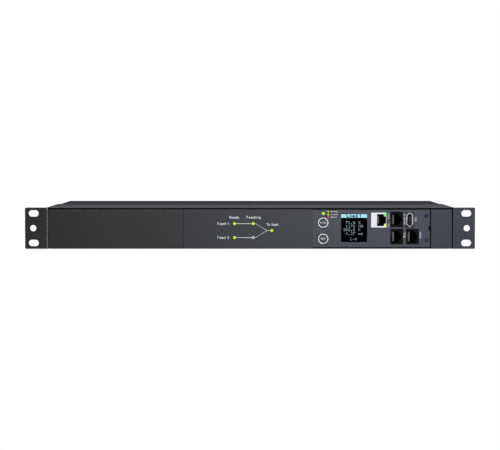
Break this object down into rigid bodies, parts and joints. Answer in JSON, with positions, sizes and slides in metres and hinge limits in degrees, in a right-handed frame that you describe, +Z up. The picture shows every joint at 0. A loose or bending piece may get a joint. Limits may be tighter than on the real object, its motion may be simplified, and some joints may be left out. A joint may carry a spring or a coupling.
{
  "type": "rack static transfer switch",
  "caption": "Slim rack static transfer switch: fast changeover between mains inlets to rear outlets, with a front status mimic and a plug-in network and display module.",
  "frame": {"origin": "centre of the four rack slots, on the back face of the ears", "axes": "+X to the right along the width, +Y into the rack from the front, +Z up"},
  "size_m": [0.4826, 0.2488, 0.0444],
  "materials": {
    "charcoal_paint": "fine charcoal powder coat",
    "module_paint": "fine charcoal powder coat, a shade lighter",
    "black_steel": "black oxide",
    "zinc": "bright zinc",
    "black_foam": "matt black",
    "film": "printed matt film",
    "light_pipe": "lit yellow-green",
    "board": "green solder mask",
    "control_mask": "blue solder mask",
    "lamp": "clear epoxy",
    "brass_spacer": "plain",
    "window": "clear lens",
    "display": "black display glass",
    "black_plastic": "moulded black",
    "button": "moulded charcoal",
    "switch_metal": "plain",
    "jack_shell": "pale shell",
    "jack_lamp": "diffused",
    "gold": "gold plate",
    "shell_metal": "bright plated",
    "blade": "nickel plate",
    "trip_button": "red",
    "busbar": "plain",
    "insulator": "natural",
    "aluminium": "extruded",
    "relay_case": "sealed case",
    "transformer_blue": "potted",
    "capacitor_yellow": "cast resin",
    "varistor_blue": "dipped epoxy",
    "winding": "taped winding",
    "capacitor_sleeve": "shrink sleeve",
    "terminal_green": "moulded",
    "ribbon": "grey flat cable",
    "wire_brown": "PVC",
    "wire_earth": "green and yellow PVC"
  },
  "bodies": {
    "chassis": {"chassis_tray": "charcoal_paint", "top_cover": "charcoal_paint", "left_rack_ear": "charcoal_paint", "right_rack_ear": "charcoal_paint", "ear_screws": "black_steel", "clinch_nuts": "zinc", "cover_screws": "black_steel", "front_seal": "black_foam", "mimic_overlay_film": "film", "light_pipes": "light_pipe", "mimic_board": "board", "mimic_leds": "lamp", "panel_spacers": "brass_spacer", "module_faceplate": "module_paint", "module_bracket": "black_steel", "module_screws": "module_paint", "module_board": "board", "display_window": "window", "display_panel": "display", "display_carrier": "black_plastic", "button_switches": "switch_metal", "ethernet_jack": "jack_shell", "ethernet_jack_leds": "jack_lamp", "jack_contacts": "gold", "data_jack_upper": "black_plastic", "data_jack_lower_left": "black_plastic", "data_jack_lower_right": "black_plastic", "expansion_socket_shell": "shell_metal", "expansion_socket_insert": "black_plastic", "inlet_a": "black_plastic", "inlet_b": "black_plastic", "inlet_blades": "blade", "circuit_breakers": "black_plastic", "breaker_nuts": "zinc", "outlet_banks": "black_plastic", "outlet_busbars": "busbar", "earth_stud": "zinc", "insulation_sheet": "insulator", "board_standoffs": "zinc", "board_screws": "zinc", "power_board": "board", "heat_sink": "aluminium", "thyristors": "black_plastic", "clamp_bar": "switch_metal", "isolation_relays": "relay_case", "current_transformers": "transformer_blue", "filter_capacitors": "capacitor_yellow", "varistors": "varistor_blue", "supply_transformers": "winding", "reservoir_capacitors": "capacitor_sleeve", "terminal_blocks": "terminal_green", "control_board": "control_mask", "control_chips": "black_plastic", "ribbon_cables": "ribbon", "power_wires": "wire_brown", "earth_wires": "wire_earth"},
    "select_button": {"select_button": "button"},
    "enter_button": {"enter_button": "button"},
    "breaker_button_a": {"breaker_button_a": "trip_button"},
    "breaker_button_b": {"breaker_button_b": "trip_button"}
  },
  "joints": [
    {"name": "select_button_press", "type": "slide", "parent": "chassis", "child": "select_button", "axis": [0, 1, 0], "range_m": [0, 0.0005], "stiffness_N_per_m": 800},
    {"name": "enter_button_press", "type": "slide", "parent": "chassis", "child": "enter_button", "axis": [0, 1, 0], "range_m": [0, 0.0005], "stiffness_N_per_m": 800},
    {"name": "breaker_button_a_trip", "type": "slide", "parent": "chassis", "child": "breaker_button_a", "axis": [0, 1, 0], "range_m": [0, 0.004]},
    {"name": "breaker_button_b_trip", "type": "slide", "parent": "chassis", "child": "breaker_button_b", "axis": [0, 1, 0], "range_m": [0, 0.004]}
  ]
}
